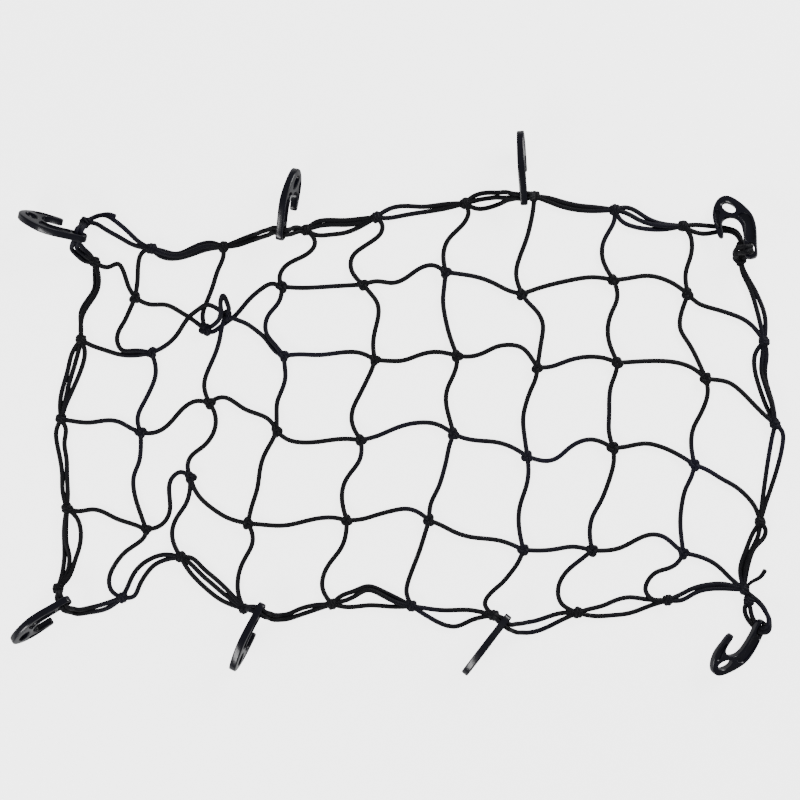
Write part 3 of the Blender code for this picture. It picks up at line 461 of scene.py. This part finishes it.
# Strands by side: first knot, last knot and the points between. A hook's name stands for its eye,
# with the strand's place in the eye.
EDGE_RUNS = {
    "edge_top": (
        ("t0_wrap", "t1", ((96, 217), (105, 215.5), (116, 221.5), (128, 231.5), (140, 242.5))),
        ("t0_wrap", "t1", ((95, 223.5), (105, 229), (119, 237), (135, 245.5))),
        ("t1", "t2", ((163, 251), (176, 254), (188, 250.3), (200, 244.8), (212, 243))),
        ("t1", "t2", ((160, 256), (175, 258.8), (190, 255.5), (206, 250))),
        ("t1", "t2", ((162, 253.4, 3.5), (176, 256.4, 3.5), (190, 253, 3.5), (206, 247, 3.5))),
        ("t2", "t3", ((240, 240.3), (253, 235.3), (267, 231.5, 8), ("hook_top_1", 1),
                      (295, 229.5, 12))),
        ("t2", "t3", ((240, 244.9), (254, 240), (268, 236.5, 7), ("hook_top_1", -1),
                      (295, 234.5, 10))),
        ("t3", "t4", ((316, 222.5), (330, 220.3), (346, 220.5), (361, 219))),
        ("t3", "t4", ((316, 227), (330, 225), (346, 225), (360, 223.3))),
        ("t3", "t4", ((317, 235.3), (330, 235), (345, 233), (356, 229))),
        ("t4", "t5", ((389, 209.3), (405, 206.3), (423, 207), (445, 204.5))),
        ("t4", "t5", ((388, 218.3), (402, 216), (421, 212.8), (443, 209.3))),
        ("t5", "t6", ((472, 197.5), (483, 193.5), (496, 193), (508, 194.5, 10), ("hook_top_2", 1),
                      (530, 197, 15))),
        ("t5", "t6", ((477, 209), (489, 207.8), (499, 204.5, 1), (509, 201.2, 9),
                      ("hook_top_2", -0.85), (530, 199.5, 15))),
        ("t5", "t6", ((476, 200.8), (489, 198.5), (499, 198.3, 3), (508.5, 199.8, 11),
                      ("hook_top_2", -0.7), (530, 199, 16))),
        ("t6", "t7", ((547, 198), (562, 202), (580, 206), (598, 207.8))),
        ("t6", "t7", ((547, 201.5), (560, 206.4), (573, 209.6), (590, 211.2))),
        ("t7", "t8", ((625, 207.8), (635, 211), (646, 218), (657, 222.7))),
        ("t7", "t8", ((626, 213.5), (637, 219.3), (648, 224, 1.5), (661, 226.2, 3.3))),
        ("t7", "t8", ((621, 221), (633, 226.8), (647, 229.3), (664, 229.6))),
        ("t8", "t9", ((693, 225.2), (707, 226), (717, 227), (727, 228.7), (736, 232.5, 1))),
        ("t8", "t9", ((692, 231.5), (703, 234), (714, 232.7, 1), (726, 231.5, 2.5),
                      (735, 235.5, 4))),
    ),
    "edge_right": (
        ("t9", "r0", ()),
        ("r0", "r0", ((743.5, 258.2, 8), (746.5, 257, 14), ("hook_top_right", -0.8),
                      (737.4, 255.8, 32.3), (732.3, 256, 21), (732, 259.5, 9))),
        ("r0", "r0", ((743, 258, 9), (747, 254.5, 16), ("hook_top_right", 0.8),
                      (737.2, 250.4, 32.2), (731.3, 251, 22), (731.2, 256.5, 13))),
        ("r0", "r1", ((742.2, 273), (748.8, 287), (754.3, 303), (759.3, 322))),
        ("r0", "r1", ((743.5, 272, 1.5), (751, 284.5), (758.8, 300), (764.5, 318))),
        ("r1", "r2", ((754.7, 354), (754.1, 369), (759, 388), (765.2, 405))),
        ("r1", "r2", ((762, 354), (760.8, 369), (764.8, 388, 3), (770.5, 406, 3.5))),
        ("r1", "r2", ((766, 353), (764.5, 370), (767.6, 389), (772.6, 407))),
        ("r2", "r3", ((771, 440), (768, 457), (765, 477), (762.3, 497))),
        ("r2", "r3", ((781.3, 431), (782, 444), (777.5, 465), (771.3, 485), (765.5, 502))),
        ("r3", "r4", ((751.8, 534), (745, 551), (739.8, 568))),
        ("r3", "r4", ((758, 534), (750.2, 551), (744.6, 568))),
        ("r3", "r4", ((765, 530), (763, 537.5), (755.5, 545, 2), (747.2, 562, 3.8))),
        ("r4", "r4_wrap", ((746, 594, 1),)),
        ("r4_wrap", "r4", ((744.3, 607.5), (746, 616.5), ("hook_bottom_right", 0.85),
                           (762.8, 628.5, 16.5), (765.2, 618.5, 14), (763.3, 609, 4),
                           (758.5, 602, 1), (751.5, 596, 1))),
        ("r4_wrap", "r4", ((749.5, 607), (751, 614.5), ("hook_bottom_right", -0.85),
                           (763, 623.5, 17), (764.5, 616, 13), (762.5, 608.5, 4),
                           (757.5, 602, 1), (751, 596, 1))),
    ),
    "edge_bottom": (
        ("b0_wrap", "b1", (("hook_bottom_left", -1), (78.5, 607.2, 11), (91, 607.2), (107, 602.8))),
        ("b0_wrap", "b1", (("hook_bottom_left", 1), (76, 611.5, 8), (90, 612), (107.5, 608))),
        ("b1", "b2", ((128.3, 586), (133.3, 575), (141, 565.3), (151, 558.6), (164, 554.5))),
        ("b1", "b2", ((134, 596), (139.5, 586), (146, 574.5), (154.5, 565), (166, 559.5))),
        ("b2", "b3", ((192, 557.8), (202, 566.5), (214, 577), (227, 589))),
        ("b2", "b3", ((191, 563.5), (201, 573.5), (213, 584), (226, 595))),
        ("b2", "b3", ((188, 568.6), (197.3, 579.6), (209, 590.5), (223, 600.5))),
        ("b3", "b4", (("hook_bottom_1", -1), (273, 612, 12), (284, 614.5), (298, 609.5),
                      (314, 605))),
        ("b3", "b4", (("hook_bottom_1", 1), (271, 616.5, 10), (284, 619, 1), (298, 615.3),
                      (314, 609.9))),
        ("b4", "b5", ((342, 595.3), (354, 590.8), (368, 586), (381, 590), (397, 597.8))),
        ("b4", "b5", ((345, 600.2), (356, 595.2), (367, 589.5, 3), (380, 593.3, 3.3),
                      (395, 601, 3.3))),
        ("b4", "b5", ((346, 606.6), (369, 605), (392, 606.3))),
        ("b5", "b6", ((428, 608.3), (446, 610), (467, 609.6))),
        ("b5", "b6", ((422, 612.5), (431, 618), (443, 624), (456, 626), (470, 620.4))),
        ("b6", "b7", (("hook_bottom_2", -1), (517, 622, 9), (530, 621.5), (546, 617),
                      (561, 612.8))),
        ("b6", "b7", (("hook_bottom_2", 1), (513, 629.5, 9), (524, 632.3), (539, 630),
                      (558, 621.3))),
        ("b7", "b8", ((590, 608.5), (602, 605.5), (614, 600.5), (629, 597), (646, 599))),
        ("b7", "b8", ((592, 615.5), (611, 615), (629, 612.8), (648, 606))),
        ("b8", "r4", ((680, 594.2), (692, 588.3), (706, 584.6), (722, 583.6))),
        ("b8", "r4", ((681, 599.8), (694, 593), (707, 589), (722, 588.3))),
    ),
    "edge_left": (
        ("t0_wrap", "l1", (("hook_top_left", 1), (74, 249, 8), (78, 255.5, 2), (85, 261))),
        ("t0_wrap", "l1", (("hook_top_left", -1), (79.5, 248, 9), (84, 254.5, 2))),
        ("t0_wrap", "l1", (("hook_top_left", -0.9), (84.4, 247.5, 10), (90, 254, 2))),
        ("l1", "l2", ((95.4, 275), (95, 288), (88.5, 299.5), (81.6, 312), (81.4, 325))),
        ("l1", "l2", ((99.4, 275, 2.8), (98.8, 289, 2.8), (91.7, 302, 2.8), (84, 315, 2.8))),
        ("l2", "l3", ((73.2, 352), (68.8, 368), (64.4, 384), (60.8, 401))),
        ("l2", "l3", ((78.5, 353), (74, 369), (69.3, 385), (65.8, 401))),
        ("l2", "l3", ((85.2, 351), (83.4, 364), (78.7, 377), (73.3, 390, 1.5), (67.5, 404, 3.5))),
        ("l3", "l4", ((56.8, 431), (57.3, 442), (60.3, 457), (62.7, 475), (63.3, 492))),
        ("l3", "l4", ((66.3, 429), (65, 442), (66.8, 457), (67.5, 475), (68.3, 492))),
        ("l4", "b0_wrap", ((65, 524), (64.8, 542), (64.7, 560), (62.8, 573))),
        ("l4", "b0_wrap", ((67.7, 523, 4), (67.8, 541, 4), (70, 558), (67.8, 572))),
        ("l4", "b0_wrap", ((77.5, 518), (81.2, 531), (79.8, 547), (75, 562), (70.3, 576, 3))),
    ),
}


def hook_turn(name):
    """A hook's turn: Rz(heading) Ry(-pitch) Rx(roll)."""
    heading, pitch, roll = (math.radians(angle) for angle in HOOKS[name][2:])
    return np.array(Matrix.Rotation(heading, 3, "Z") @ Matrix.Rotation(-pitch, 3, "Y")
                    @ Matrix.Rotation(roll, 3, "X"))


def eye_spot(name):
    """Middle of a hook's eye in the plan, in millimetres, its hook's lowest point at z = 0."""
    turn = hook_turn(name)
    outline = np.array([(x, y, z) for x, y in HOOK_OUTLINE for z in (-HALF_PLATE, HALF_PLATE)])
    eye = turn @ np.array((*HOOK_EYE, 0.0))
    return np.array((*board(*HOOKS[name][:2]), eye[2] - (outline @ turn.T)[:, 2].min()))


def eye_pass(name, place, start):
    """Two table points either side of the hook's plate, on a line through its eye."""
    turn = hook_turn(name)
    points = []
    for reach in (-EYE_REACH, EYE_REACH):
        spot = eye_spot(name) + turn @ np.array((EYE_SPREAD * place, 0.0, reach))
        points.append((spot[0] + BOARD_CENTRE[0], BOARD_CENTRE[1] - spot[1], spot[2] - 0.5 * CORD))
    return sorted(points, key=lambda point: math.dist(point[:2], start[:2]))


def edge_line(start, end, via):
    """Centre line of a strand from knot to knot, through a hook's eye where the table names it."""
    points = [knot_end(start)]
    for point in via:
        points += eye_pass(*point, points[-1]) if point[0] in HOOKS else [point]
    return even_line(cord_line([*points, knot_end(end)]), BORDER_STEP)


for side, runs in EDGE_RUNS.items():
    lines = [(tube_grid(edge_line(*run), 0.5 * SLEEVE_WIDTH, SLEEVE_SIDES), False) for run in runs]
    strand = add_mesh(side + "_cord", lines, SLEEVE, SLEEVE_SIDES)
    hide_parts(side)

# ---- Edge knots and corner lashings ------------------------------------------------------------
# At each knot of the border a mesh cord is wound round the strands and pulled tight. The corners
# have the same winding, a little longer, where the edge cord is lashed to itself beside a hook.
# Heading of each lashing, in degrees.
LASHINGS = {"t0_wrap": 50.0, "t9": 62.0, "r0": 100.0, "r4_wrap": 68.0, "b0_wrap": 80.0}
LASHING_TURNS = 3.0
LASHING_REACH = 8.4
WIND_WIDE = 3.5
WIND_HIGH = 2.4
WIND_STEP = 0.9
WIND_CORD = 0.48 * SLEEVE_WIDTH  # radius of the pulled cord


def winding(centre, heading, turns, reach, wide, high, lift):
    """A helix (a, w sin t, h cos t) about a level line, its two ends drawn in towards the line."""
    share = np.linspace(0.0, 1.0, int(26 * turns))  # 26 points a turn
    angle = math.tau * turns * share + 0.6
    draw = np.sqrt(np.clip(np.minimum(share, 1.0 - share) * turns * 3.0, 0.12, 1.0))
    along = reach * (share - 0.5)
    side = wide * draw * np.sin(angle)
    rise = high * draw * np.cos(angle)
    c, s = math.cos(heading), math.sin(heading)
    middle = lift + high + 0.47 * CORD
    x, y = centre[0] + c * along - s * side, centre[1] + s * along + c * side
    return np.column_stack((x, y, middle + rise))


def border_heading(name):
    """Direction of the border at a knot, from the knots beside it on the same side."""
    family = [key for key in EDGE_KNOTS if key[0] == name[0] and key not in LASHINGS]
    place = family.index(name)
    near = [EDGE_KNOTS[key][:2] for key in family[max(0, place - 1):place + 2]]
    (x0, y0), (x1, y1) = board(*near[0]), board(*near[-1])
    return math.atan2(y1 - y0, x1 - x0)


wraps = []
for number, (name, (across, down, lift)) in enumerate(EDGE_KNOTS.items()):
    lashed = name in LASHINGS
    heading = math.radians(LASHINGS[name]) if lashed else border_heading(name)
    heading += 0.5 * (mixed(number, 4) - 0.5)
    turns = LASHING_TURNS if lashed else 2.3 + 0.5 * mixed(number, 5)
    reach = LASHING_REACH if lashed else 6.4 + 1.6 * mixed(number, 6)
    coil = winding(board(across, down), heading, turns, reach, WIND_WIDE, WIND_HIGH, lift)
    wraps.append((tube_grid(even_line(coil, WIND_STEP), WIND_CORD, SLEEVE_SIDES), False))
    if not lashed:
        bow_heading = heading + 1.2 * mixed(number, 7)
        bow = trefoil(board(across, down), bow_heading, size=0.86, stretch=1.15, lift=lift)
        wraps.append((tube_grid(bow, WIND_CORD, SLEEVE_SIDES, ring=True), True))
edge_knots = add_mesh("edge_knots", wraps, SLEEVE, SLEEVE_SIDES)

# ---- Free ends ---------------------------------------------------------------------------------
# Two ends of the edge cord are left free: a cut end laid flat on the upper left strand, and a short
# tail at the lower right knot that spreads a little where its sleeve is cut.
TAG = ((103, 214.8, 1.5), (109, 214.8, 2.5), (116.5, 217.4, 1.2))
TAIL = ((745, 588), (751, 581.8), (759.5, 577), (765, 569))
END_SIDES = 14


def flared(points, start, tip, flat):
    """A tube that widens from start to tip as a smooth step, its height that width times flat."""
    line = even_line(cord_line(points), step=0.8)
    line[:, 2] -= 0.5 * CORD * (1.0 - flat)
    grid, quads, uvs = tube_grid(line, 1.0, END_SIDES)
    share = np.repeat(np.linspace(0.0, 1.0, len(line)), END_SIDES)
    girth = 0.5 * (start + (tip - start) * share ** 2 * (3.0 - 2.0 * share))
    middle = np.repeat(line, END_SIDES, axis=0)
    swell = (grid - middle) * girth[:, None]
    swell[:, 2] *= flat
    return (middle + swell, quads, uvs), False


cut_ends = [flared(TAG, start=4.2, tip=5.4, flat=0.55), flared(TAIL, start=3.4, tip=4.8, flat=0.9)]
free_ends = add_mesh("free_ends", cut_ends, SLEEVE, END_SIDES)

# ---- Hooks -------------------------------------------------------------------------------------
# Eight equal flat hooks moulded in black plastic: an I section plate with rounded edges, an oval
# eye for the cord at one end and an oval hole in the crown, where the arm turns back to its tip.
SHANK_RECESS = (
    (17.0, -3.8), (30.1, -4.2), (41.7, -1.6), (46.6, 3.6), (45.1, 9.8), (40.3, 6.3), (30.1, 3.8),
    (17.0, 3.6),
)
ARM_RECESS = ((34.0, 28.2), (44.6, 28.2), (50.9, 27.6), (53.5, 30.7), (45.6, 32.0), (36.4, 30.3))
# Holes: middle across and up, half length, half width, turn in degrees.
EYE_HOLE = (*HOOK_EYE, 6.2, 3.8, 0.0)
CROWN_HOLE = (54.9, 18.3, 8.0, 4.3, 48.0)
# Levels of a block: how far the outline is drawn in, and the height from the plate's middle.
PLATE_LEVELS = (
    (1.3, -3.6), (0.55, -3.35), (0.12, -2.8), (0.0, -2.0), (0.0, 2.0), (0.12, 2.8), (0.55, 3.35),
    (1.3, 3.6),
)
HOLE_LEVELS = ((-1.6, -4.4), (-0.9, -3.65), (0.0, -2.9), (0.0, 2.9), (-0.9, 3.65), (-1.6, 4.4))
RECESS_LEVELS = ((0.7, 1.5), (0.25, 1.7), (0.0, 2.2), (-0.1, 3.0), (-0.6, 3.6), (-1.4, 4.4))
OUTLINE_POINTS = 150
RECESS_POINTS = 70
SHARP_EDGE = 32.0


def smooth_loop(points, count):
    """Closed natural spline through the points, of period 1, solved as one cyclic system."""
    knots = np.array(points, dtype=float)
    size = len(knots)
    gaps = np.linalg.norm(np.roll(knots, -1, axis=0) - knots, axis=1) ** 0.5
    before = np.roll(gaps, 1)
    system = np.zeros((size, size))
    row = np.arange(size)
    system[row, (row - 1) % size] += before
    system[row, row] += 2.0 * (before + gaps)
    system[row, (row + 1) % size] += gaps
    slope = (np.roll(knots, -1, axis=0) - knots) / gaps[:, None]
    bend = np.linalg.solve(system, 6.0 * (slope - np.roll(slope, 1, axis=0)))
    marks = np.concatenate(([0.0], np.cumsum(gaps)))
    along = np.linspace(0.0, marks[-1], count, endpoint=False)
    cell = np.searchsorted(marks, along, side="right") - 1
    gap = gaps[cell][:, None]
    after = (along - marks[cell])[:, None] / gap
    left = 1.0 - after
    beyond = (cell + 1) % size
    lean = (left ** 3 - left) * bend[cell] + (after ** 3 - after) * bend[beyond]
    return left * knots[cell] + after * knots[beyond] + lean * gap ** 2 / 6


def inset(loop, amount):
    """The loop moved inwards along its normals by amount, a number or one for each point."""
    ahead = np.roll(loop, -1, axis=0) - np.roll(loop, 1, axis=0)
    ahead /= np.linalg.norm(ahead, axis=1)[:, None]
    inward = np.column_stack((-ahead[:, 1], ahead[:, 0]))
    return loop + inward * np.reshape(amount, (-1, 1))


def oval_loop(centre_x, centre_y, long_half, short_half, turn, count=40):
    """An ellipse, (a cos t, b sin t), turned by so many degrees."""
    t = math.tau * np.arange(count) / count
    c, s = math.cos(math.radians(turn)), math.sin(math.radians(turn))
    u, v = long_half * np.cos(t), short_half * np.sin(t)
    return np.column_stack((centre_x + c * u - s * v, centre_y + s * u + c * v))


def stacked(loop, levels):
    """A closed block: the loop inset by a at height z for every (a, z) in levels."""
    rings = np.array([np.column_stack((inset(loop, a), np.full(len(loop), z))) for a, z in levels])
    count, size = rings.shape[:2]
    first = np.arange(count - 1)[:, None] * size
    low = (first + np.arange(size)).ravel()
    low_to = (first + (np.arange(size) + 1) % size).ravel()
    faces = np.column_stack((low, low_to, low_to + size, low + size)).tolist()
    faces += [list(range(size))[::-1], list(range((count - 1) * size, count * size))]
    mesh = bpy.data.meshes.new("block")
    mesh.from_pydata((rings.reshape(-1, 3) * MM).tolist(), [], faces)
    return mesh


def cut(body, cutters):
    """The body's mesh with every cutter taken away from it."""
    tools = bpy.data.collections.new("tools")
    bpy.context.scene.collection.children.link(tools)
    for mesh in cutters:
        tools.objects.link(bpy.data.objects.new("tool", mesh))
    whole = bpy.data.objects.new("whole", body)
    bpy.context.scene.collection.objects.link(whole)
    difference = whole.modifiers.new("difference", "BOOLEAN")
    difference.operand_type = "COLLECTION"
    difference.collection = tools
    difference.operation = "DIFFERENCE"
    difference.solver = "EXACT"
    graph = bpy.context.evaluated_depsgraph_get()
    mesh = bpy.data.meshes.new_from_object(whole.evaluated_get(graph), depsgraph=graph)
    for thing in [whole, *tools.objects]:
        bpy.data.objects.remove(thing, do_unlink=True)
    bpy.data.collections.remove(tools)
    return mesh


def plastic_finish():
    """Black moulded plastic: a faint orange peel, and a gloss that varies slowly."""
    material = bpy.data.materials.new("hook_plastic")
    material.use_nodes = True
    nodes, links = material.node_tree.nodes, material.node_tree.links
    shader = nodes["Principled BSDF"]
    shader.inputs["Specular IOR Level"].default_value = 0.5
    place = nodes.new("ShaderNodeTexCoord")
    cloud = nodes.new("ShaderNodeTexNoise")
    cloud.inputs["Scale"].default_value = 60.0
    cloud.inputs["Detail"].default_value = 4.0
    links.new(place.outputs["Object"], cloud.inputs["Vector"])
    gloss = nodes.new("ShaderNodeMapRange")
    gloss.inputs["To Min"].default_value = 0.14
    gloss.inputs["To Max"].default_value = 0.3
    links.new(cloud.outputs["Fac"], gloss.inputs["Value"])
    links.new(gloss.outputs["Result"], shader.inputs["Roughness"])
    shade = nodes.new("ShaderNodeMix")
    shade.data_type = "RGBA"
    shade.inputs["A"].default_value = (0.004, 0.004, 0.007, 1.0)
    shade.inputs["B"].default_value = (0.009, 0.009, 0.018, 1.0)
    links.new(cloud.outputs["Fac"], shade.inputs["Factor"])
    links.new(shade.outputs["Result"], shader.inputs["Base Color"])
    peel = nodes.new("ShaderNodeTexNoise")
    peel.inputs["Scale"].default_value = 900.0
    links.new(place.outputs["Object"], peel.inputs["Vector"])
    bump = nodes.new("ShaderNodeBump")
    bump.inputs["Strength"].default_value = 0.25
    bump.inputs["Distance"].default_value = 0.0002
    links.new(peel.outputs["Fac"], bump.inputs["Height"])
    links.new(bump.outputs["Normal"], shader.inputs["Normal"])
    return material


cutters = [stacked(oval_loop(*hole), HOLE_LEVELS) for hole in (EYE_HOLE, CROWN_HOLE)]
for recess in (SHANK_RECESS, ARM_RECESS):
    loop = smooth_loop(recess, RECESS_POINTS)
    cutters.append(stacked(loop, RECESS_LEVELS))
    cutters.append(stacked(loop, [(amount, -z) for amount, z in reversed(RECESS_LEVELS)]))
hook_shape = cut(stacked(smooth_loop(HOOK_OUTLINE, OUTLINE_POINTS), PLATE_LEVELS), cutters)
hook_shape.materials.clear()
hook_shape.materials.append(plastic_finish())
hook_shape.shade_smooth()
hook_shape.set_sharp_from_angle(angle=math.radians(SHARP_EDGE))
for name in HOOKS:
    turn = hook_turn(name)
    shift = eye_spot(name) - turn @ np.array((*HOOK_EYE, 0.0))
    mesh = hook_shape.copy()
    pose = Matrix(turn.tolist()).to_4x4()
    pose.translation = Vector(shift.tolist()) * MM
    mesh.transform(pose)
    hook = bpy.data.objects.new(name + "_moulding", mesh)
    bpy.context.scene.collection.objects.link(hook)
    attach(hook, "root")
    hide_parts(name)

# ---- Surface, light and camera -----------------------------------------------------------------
# The net lies on a plain white surface and is seen from straight above. The surface glows brightly
# for the camera alone. Two soft panels hang one metre up, off the upper right and the lower left,
# with a weak light from all round.
FLOOR = 14.0
surface = bpy.data.meshes.new("surface")
corners = [(-FLOOR, -FLOOR, 0), (FLOOR, -FLOOR, 0), (FLOOR, FLOOR, 0), (-FLOOR, FLOOR, 0)]
surface.from_pydata(corners, [], [(0, 1, 2, 3)])
paper = bpy.data.materials.new("paper")
paper.use_nodes = True
paper_nodes, paper_links = paper.node_tree.nodes, paper.node_tree.links
paper_look = paper_nodes["Principled BSDF"].inputs
paper_look["Base Color"].default_value = (0.9, 0.9, 0.9, 1.0)
paper_look["Roughness"].default_value = 0.9
paper_look["Emission Color"].default_value = (1.0, 1.0, 1.0, 1.0)
seen = paper_nodes.new("ShaderNodeLightPath")
glow = paper_nodes.new("ShaderNodeMapRange")
glow.inputs["To Min"].default_value = 0.1
glow.inputs["To Max"].default_value = 3.6
paper_links.new(seen.outputs["Is Camera Ray"], glow.inputs["Value"])
paper_links.new(glow.outputs["Result"], paper_look["Emission Strength"])
surface.materials.append(paper)
ground = bpy.data.objects.new("surface", surface)
bpy.context.scene.collection.objects.link(ground)

world = bpy.data.worlds.new("studio")
world.use_nodes = True
sky = world.node_tree.nodes["Background"].inputs
sky["Color"].default_value = (0.96, 0.97, 1.0, 1.0)
sky["Strength"].default_value = 0.2
bpy.context.scene.world = world


def panel(name, place, size, power):
    """A broad soft light that faces the middle of the net."""
    light = bpy.data.lights.new(name, "AREA")
    light.shape = "RECTANGLE"
    light.size, light.size_y = size
    light.energy = power
    lamp = bpy.data.objects.new(name, light)
    lamp.location = place
    lamp.rotation_euler = (-Vector(place)).to_track_quat("-Z", "Y").to_euler()
    bpy.context.scene.collection.objects.link(lamp)


panel("panel_right", place=(1.3, 1.3, 1.0), size=(1.5, 0.6), power=34.0)
panel("panel_left", place=(-1.3, -1.2, 1.0), size=(1.5, 0.5), power=26.0)

# From 1.4 m a 63 mm lens on a 36 mm sensor takes in 0.8 m, so that one pixel of the photo is 1 mm.
PHOTO_MIDDLE = 400.0
CAMERA_HEIGHT = 1.4
lens = bpy.data.cameras.new("camera")
lens.sensor_width = 36.0
lens.lens = 63.0
lens.clip_start, lens.clip_end = 0.05, 30.0
eye = bpy.data.objects.new("camera", lens)
middle_x, middle_y = board(PHOTO_MIDDLE, PHOTO_MIDDLE)
eye.location = (middle_x * MM, middle_y * MM, CAMERA_HEIGHT)
bpy.context.scene.collection.objects.link(eye)
bpy.context.scene.camera = eye
